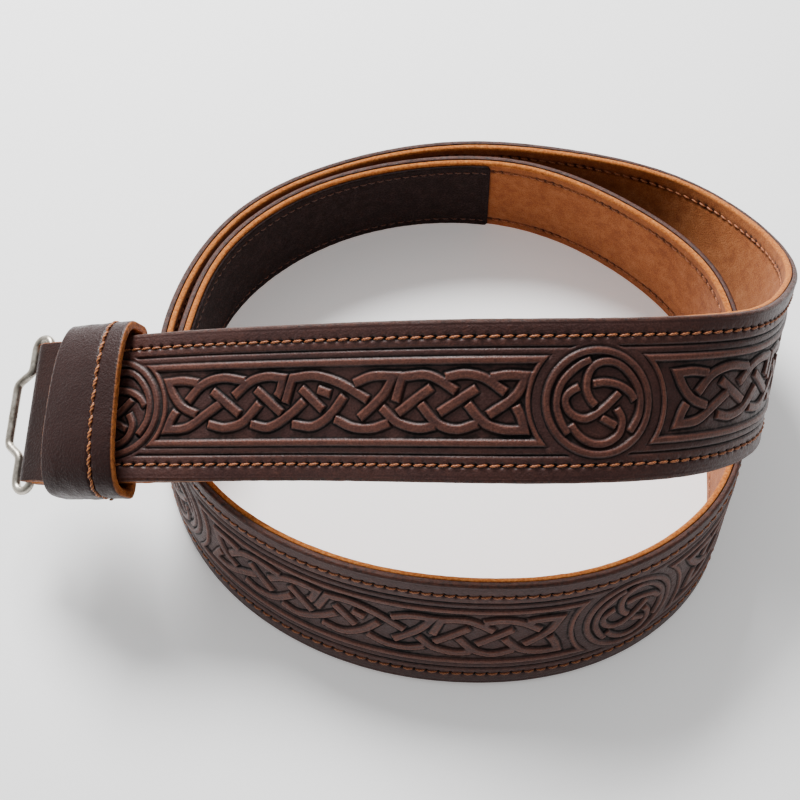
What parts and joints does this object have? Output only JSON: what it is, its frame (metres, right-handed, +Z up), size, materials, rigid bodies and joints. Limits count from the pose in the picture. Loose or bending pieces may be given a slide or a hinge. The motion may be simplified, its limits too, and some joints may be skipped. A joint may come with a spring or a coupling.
{
  "type": "kilt belt",
  "caption": "Wide dark leather belt, tan suede inside, coiled on its edge, with a leather keeper, a folded end that holds a wire hook loop, and a fastening patch at the tip.",
  "frame": {"origin": "on the surface the belt stands on, below the middle of its box", "axes": "+Z up, +X along the front strap away from the hook loop, +Y away from the front strap to the back of the coil"},
  "size_m": [0.324, 0.2598, 0.1276],
  "materials": {
    "dark_leather": "semi-gloss",
    "tan_suede": "matt",
    "keeper_leather": "semi-gloss",
    "fold_leather": "satin",
    "nickel_wire": "satin",
    "patch_cloth": "matt"
  },
  "bodies": {
    "belt": {"strap_face": "dark_leather", "strap_lining": "tan_suede", "end_fold": "fold_leather", "keeper": "keeper_leather", "tip_patch": "patch_cloth"},
    "hook_loop": {"hook_loop": "nickel_wire"}
  },
  "joints": [
    {"name": "hook_loop_swing", "type": "hinge", "parent": "belt", "child": "hook_loop", "pos_m": [-0.14575, -0.03973, 0.05728], "axis": [0.0774, 0.9281, 0.3641], "range_deg": [-80, 80]}
  ]
}
